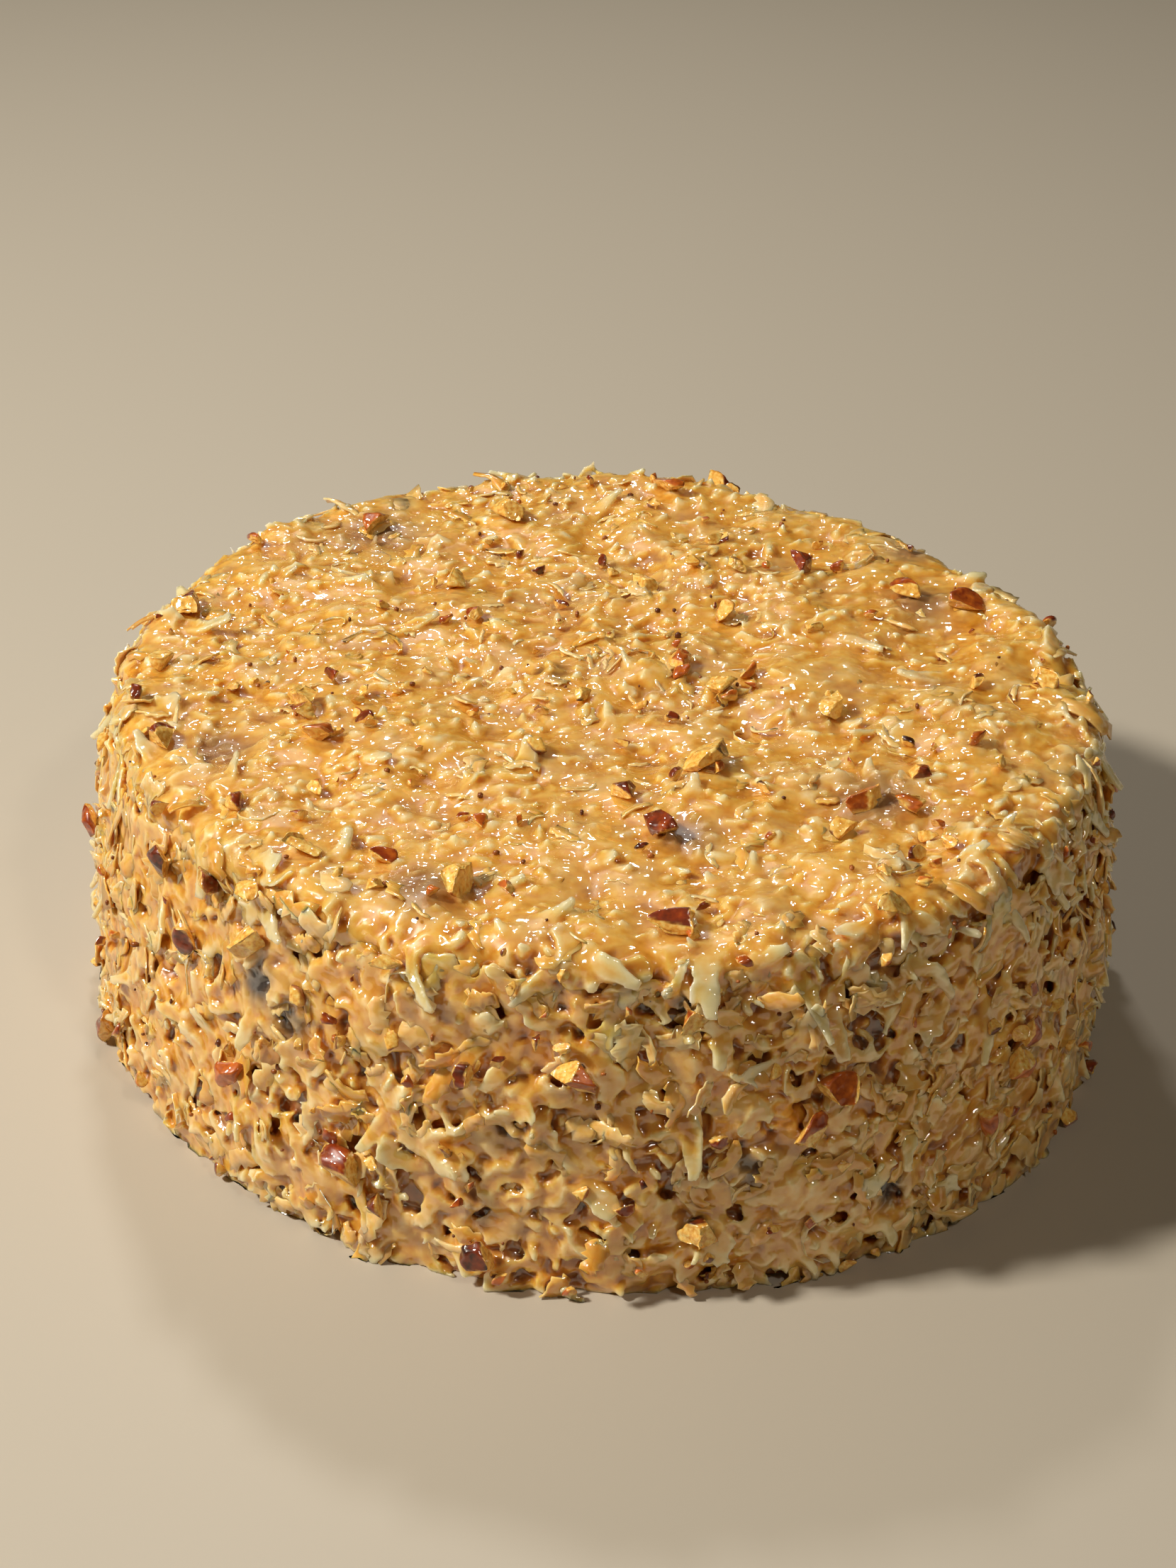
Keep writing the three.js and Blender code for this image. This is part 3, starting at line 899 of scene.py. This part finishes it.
def crisp(rng, kind, half):
    """Corners of one kind's flakes and how pale each corner is."""
    count, steps = kind["count"], CRISP_STEPS

    def drawn(key):
        return rng.uniform(*kind[key], count)

    if kind["s"][0] == 0:
        s = kind["s"][1] * np.sqrt(rng.uniform(0, 1, count))
    else:
        s = drawn("s")
    angle = rng.uniform(0, math.pi, count) * (half or rng.choice([FRONT, BACK], count))
    calm = smeared(s, angle)
    lively = 1 - 0.7 * calm
    t = np.linspace(0, 1, steps)
    length, thick = drawn("length"), rng.uniform(0.8, 1.25, count) * SHEET
    tilt0, bend, sink = drawn("tilt") * lively, drawn("bend") * lively, drawn("sink") + 0.3 * calm
    ahead, high, tilt = curled(t, length, tilt0, bend, sink)
    left, right = ragged(rng, count, steps, drawn("width"), CRISP_TEAR)
    twist = drawn("roll")[:, None] + drawn("twist")[:, None] * t
    turn = rng.normal(0, kind["turn"], count)
    cup = rng.uniform(-1, 1, count) * kind["cup"] * np.minimum(1, left.mean(1))
    slip = slipped(rng, count, steps, length, CRISP_SLIP)
    corners = ribbons(s, angle, turn, drawn("sway"), ahead, high, tilt, left, right, cup, twist, thick, slip)
    corners[..., 2] = np.maximum(corners[..., 2], CLEAR)
    pale = np.repeat(drawn("pale"), steps * ACROSS * LAYERS).reshape(count, steps, ACROSS, LAYERS)
    return corners, (pale + EDGE_LIGHT * np.array([1, MIDDLE_LIGHT, 1])[:, None]).ravel()


rng = np.random.default_rng(17)
for name, (half, kinds) in KINDS.items():
    made = [crisp(rng, kind, half) for kind in kinds]
    pale = np.concatenate([p for _, p in made])
    mesh = gathered([strips_mesh(corners) for corners, _ in made])
    piece_of(name, mesh, coconut, [("crest", pale), ("tint", 0 * pale)])


# ---- Pecans ----
def ball(detail):
    """(vertices, triangles) of a ball of radius 1."""
    mesh = bpy.data.meshes.new("ball")
    net = bmesh.new()
    bmesh.ops.create_icosphere(net, subdivisions=detail, radius=1.0)
    net.to_mesh(mesh)
    net.free()
    verts = np.array([v.co for v in mesh.vertices])
    tris = np.array([list(f.vertices) for f in mesh.polygons])
    bpy.data.meshes.remove(mesh)
    return verts, tris


CUTS = 9  # flat faces of a chunk
RIDGES = (8, 0.05)  # how close together those of its skin are, and their height
FLESH_DEPTH, SKIN_DEPTH = (0.2, 0.45), (0.5, 0.8)  # distance of the cuts from its middle


def chunk(rng, sphere, flesh):
    """A broken pecan piece of size 1: ridged skin towards one side, flat broken faces on the others.
    Returns points and how far each is skin."""
    swing, way = math.pi * flesh + rng.uniform(-0.3, 0.3), rng.uniform(0, 2 * math.pi)
    outside = np.array([math.sin(swing) * math.cos(way), math.sin(swing) * math.sin(way), math.cos(swing)])
    shift = rng.uniform(0, 50)
    ridges = RIDGES[1] * np.sin(RIDGES[0] * sphere[:, 1] + 2.5 * noise(sphere + shift, 0.8))
    p = sphere * (1 + ridges + 0.08 * noise(sphere + shift, 0.55))[:, None]
    is_skin = np.clip(0.5 + 4 * (sphere @ outside + 0.25), 0, 1)
    for _ in range(CUTS):
        face = rng.normal(size=3) - 0.3 * outside
        face /= np.linalg.norm(face)
        broken = face @ outside < 0.3
        depth = rng.uniform(*(FLESH_DEPTH if broken else SKIN_DEPTH))
        over = np.maximum(p @ face - depth, 0)
        p = p - face * (over * (1 - 0.12 * noise(sphere + shift, 0.25)))[:, None]
        if broken:
            is_skin *= np.clip(1 - over * 14, 0, 1)
    return p / np.ptp(p, 0), is_skin


def chunks(rng, seats, detail, show, lift):
    """Broken pecan pieces at rows of s, angle, length, slim, flat, turn and flesh. Their middles stand off
    the skin by lift and by the share show of their height."""
    sphere, tris = ball(detail)
    verts, skins, shades = [], [], []
    for s, angle, length, slim, flat, turn, flesh in seats:
        p, is_skin = chunk(rng, sphere, flesh)
        point, normal = skin(np.array([s]), np.array([angle]))
        point, normal = point[0], normal[0]
        way = np.array([-math.sin(angle), math.cos(angle), 0.0])
        down = np.cross(way, normal)
        ahead = way * math.cos(turn) - down * math.sin(turn)
        across = np.cross(normal, ahead)
        p = (p - (p.max(0) + p.min(0)) / 2) * np.array([length, length * slim, length * flat])
        p = p @ np.stack([ahead, across, normal]) + point + normal * (show * length * flat + lift)
        p[:, 2] = np.maximum(p[:, 2], CLEAR)
        verts.append(p)
        skins.append(is_skin)
        shades.append(np.full(len(p), rng.uniform()))
    faces = tris[None] + (np.arange(len(seats)) * len(sphere))[:, None, None]
    values = [("skin", np.concatenate(skins)), ("tint", np.concatenate(shades))]
    return (np.concatenate(verts), faces.reshape(-1, 3)), values


PECAN_SKIN = ((0.2, (0.035, 0.006, 0.002)), (0.5, (0.27, 0.034, 0.003)), (0.85, (0.70, 0.17, 0.012)))
PECAN_FLESH = ((0.3, (0.68, 0.27, 0.03)), (0.5, (0.92, 0.53, 0.10)), (0.7, (1.0, 0.75, 0.26)))
PECAN_GLOSS = 1.6


def pecan_material():
    mat, tree, bsdf = material("pecan")
    grain = noise_of(tree, 0.9, 4)
    streak = maths(tree, "MULTIPLY_ADD", noise_of(tree, 2.5, 2), 0.7, maths(tree, "MULTIPLY", grain, 0.3))
    depth = maths(tree, "MULTIPLY_ADD", attribute(tree, "tint"), 0.5, maths(tree, "ADD", streak, -0.25))
    brown, flesh = ramp(tree, depth, PECAN_SKIN), ramp(tree, grain, PECAN_FLESH)
    link(tree, mix(tree, attribute(tree, "skin"), flesh, brown), bsdf.inputs["Base Color"])
    wet(tree, bsdf, PECAN_GLOSS)
    bsdf.inputs["Subsurface Weight"].default_value = 0.1
    bsdf.inputs["Subsurface Scale"].default_value = 0.8 * MM
    return mat


pecan = pecan_material()
rng = np.random.default_rng(29)
mesh, values = chunks(rng, pecans, detail=4, show=0.34, lift=0.8)
piece_of("pecans_large", mesh, pecan, values)

SCATTERED = 290  # small pecans besides the marked ones
SMALL_LENGTH = (1.6, 4.6)
s, angle = scattered_seats(rng, SCATTERED)
scattered = np.stack([s, angle, rng.uniform(*SMALL_LENGTH, SCATTERED)], 1)
marked = np.array([(s, math.radians(around), length) for s, around, length, _ in SMALL_PECANS])
small = np.concatenate([marked, scattered])
flesh = np.concatenate([[row[3] for row in SMALL_PECANS], 0.9 * rng.uniform(0, 1, SCATTERED) ** 2])
count = len(small)
shape = [rng.uniform(0.5, 0.85, count), rng.uniform(0.5, 0.8, count), rng.uniform(-3, 3, count), flesh]
mesh, values = chunks(rng, np.column_stack([small, *shape]), detail=3, show=0.3, lift=1.0)
piece_of("pecans_small", mesh, pecan, values)

# ---- Crumbs of pecan skin and cake ----
CRUMBS = 170
CRUMB_SIZE = (0.3, 0.8)
CRUMB_LIFT = 0.9
CRUMB_BROWN = ((0.35, (0.10, 0.02, 0.004)), (0.65, (0.42, 0.12, 0.015)))
s, angle = scattered_seats(rng, CRUMBS)
size = rng.uniform(*CRUMB_SIZE, CRUMBS)
point, normal = skin(s, angle)
nub, tris = ball(1)
nubs = nub[None] * size[:, None, None] * rng.uniform(0.6, 1.4, (CRUMBS, 1, 3))
verts = point[:, None] + normal[:, None] * CRUMB_LIFT + nubs
verts[..., 2] = np.maximum(verts[..., 2], CLEAR)
faces = tris[None] + (np.arange(CRUMBS) * len(nub))[:, None, None]
crumb, tree, bsdf = material("crumbs")
link(tree, ramp(tree, noise_of(tree, 6.0, 1), CRUMB_BROWN), bsdf.inputs["Base Color"])
bsdf.inputs["Roughness"].default_value = 0.3
piece_of("crumbs", (verts.reshape(-1, 3), faces.reshape(-1, 3)), crumb)


# ---- The drum under the frosting, closed by its flat underside ----
CORE_INSET = 3.0
CORE_FOOT = 0.2
CORE_ROWS, CORE_COLUMNS = 40, 120


def core_mesh():
    rows, columns = CORE_ROWS, CORE_COLUMNS
    around = np.arange(columns) * 2 * math.pi / columns
    s, angle = np.meshgrid(np.linspace(MIDDLE, SKIN_LENGTH, rows), around, indexing="ij")
    point, normal = skin(s, angle, lumpy=False)
    point = point - normal * CORE_INSET
    point[-1, :, 2] = CORE_FOOT
    under = point[-1].mean(0)[None]
    number = np.arange(rows * columns).reshape(rows, columns)
    after = np.roll(number, -1, 1)
    sides = np.stack([number[:-1], number[1:], after[1:], after[:-1]], -1).reshape(-1, 4)
    sides = np.concatenate([sides[:, [0, 1, 2]], sides[:, [0, 2, 3]]])
    foot = np.stack([number[-1], np.full(columns, rows * columns), after[-1]], 1)
    top = np.stack([np.full(columns, rows * columns + 1), number[0], after[0]], 1)
    verts = np.concatenate([point.reshape(-1, 3), under, point[0].mean(0)[None]])
    return verts, np.concatenate([sides, foot, top])


core = core_mesh()
# The core takes the frosting's darkest crease colour, painted shade wherever it shows deep in the gaps
deep = np.ones(len(core[0]))
piece_of("frosting_core", core, frosting, [("crest", -1.0 * deep), ("rise", -2.0 * deep)])

# ---- Camera, from the photograph's viewing angle ----
EYE = Vector((2.1, -502.3, 357.9)) * MM
LOOKS_DOWN, LOOKS_LEFT, ROLLED = [math.radians(degrees) for degrees in (31.701, 0.41, 0.2383)]
camera = bpy.data.objects.new("camera", bpy.data.cameras.new("camera"))
bpy.context.scene.collection.objects.link(camera)
camera.data.lens = 60.1
camera.data.sensor_width = 36.0
camera.data.clip_start = 0.01
aim = Matrix.Rotation(LOOKS_LEFT, 4, "Z") @ Matrix.Rotation(math.pi / 2 - LOOKS_DOWN, 4, "X")
camera.matrix_world = Matrix.Translation(EYE) @ aim @ Matrix.Rotation(ROLLED, 4, "Z")
bpy.context.scene.camera = camera

# ---- Floor and light ----
FLOOR_HALF = 3.0  # m
corners = np.array([[-1, -1, 0], [1, -1, 0], [1, 1, 0], [-1, 1, 0]])
floor = mesh_object("floor", corners * FLOOR_HALF, np.array([[0, 1, 2, 3]]))
paper = bpy.data.materials.new("floor")
paper.use_nodes = True
paper.node_tree.nodes["Principled BSDF"].inputs["Base Color"].default_value = (0.5, 0.45, 0.37, 1)
floor.data.materials.append(paper)

LIT = Vector((0, 0, 0.04))  # where the lights point, in metres as their places


def area_light(name, place, size, power, colour):
    light = bpy.data.objects.new(name, bpy.data.lights.new(name, "AREA"))
    light.data.size = size
    light.data.energy = power
    light.data.color = colour
    light.location = place
    light.rotation_euler = (LIT - Vector(place)).to_track_quat("-Z", "Y").to_euler()
    bpy.context.scene.collection.objects.link(light)


area_light("key", (-1.0, -0.21, 1.05), 0.14, 23, (1, 0.94, 0.84))
area_light("back", (-0.15, 0.82, 1.0), 0.12, 3.5, (1, 0.96, 0.9))
area_light("front", (0.5, -0.8, 1.15), 0.12, 2.9, (1, 0.92, 0.8))
world = bpy.data.worlds.new("studio")
world.use_nodes = True
world.node_tree.nodes["Background"].inputs["Color"].default_value = (1, 0.79, 0.42, 1)
world.node_tree.nodes["Background"].inputs["Strength"].default_value = 0.042
bpy.context.scene.world = world
bpy.context.scene.view_settings.view_transform = "Standard"
